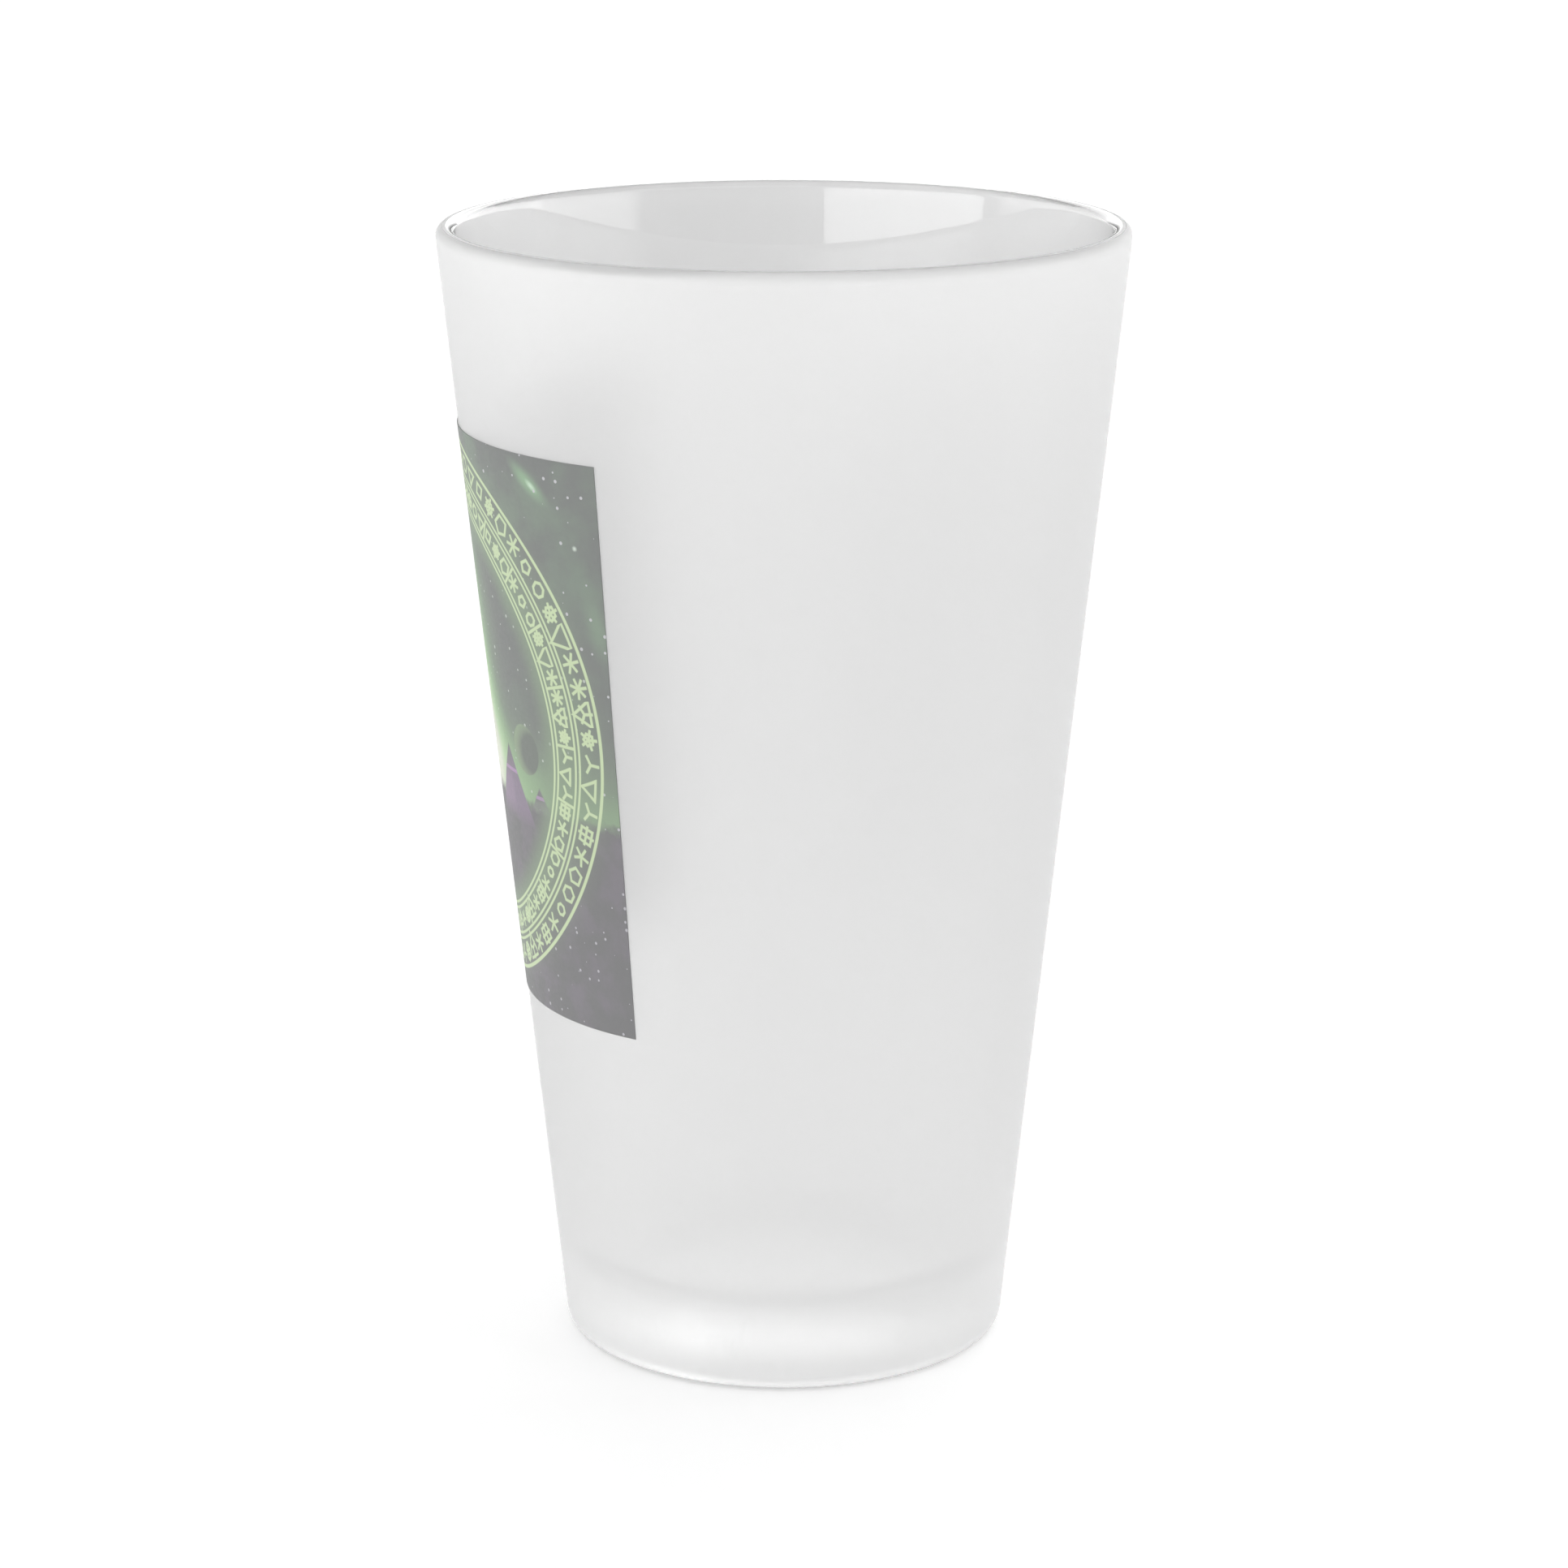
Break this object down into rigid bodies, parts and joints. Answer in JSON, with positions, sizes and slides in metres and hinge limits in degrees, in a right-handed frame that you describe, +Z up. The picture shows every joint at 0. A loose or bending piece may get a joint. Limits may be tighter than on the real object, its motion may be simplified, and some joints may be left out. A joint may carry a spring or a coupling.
{
  "type": "pint glass",
  "caption": "Conical frosted pint glass with a round clear rim, a thick foot and a square printed panel on one side.",
  "frame": {"origin": "centre of the foot, on the plane that the glass stands on", "axes": "+Z up the glass's axis to the rim; the printed panel's middle faces -Y; +X is to the right seen facing the print"},
  "size_m": [0.09, 0.09, 0.15],
  "materials": {
    "clear_glass": "clear pressed soda-lime glass, fire polished",
    "frosted_coat": "sprayed translucent matt coat",
    "printed_ink": "matt printed ink film, dark sky ground with pale green line rings"
  },
  "bodies": {
    "root": {"glass_body": "clear_glass", "frosted_coat": "frosted_coat", "printed_panel": "printed_ink"}
  },
  "joints": []
}
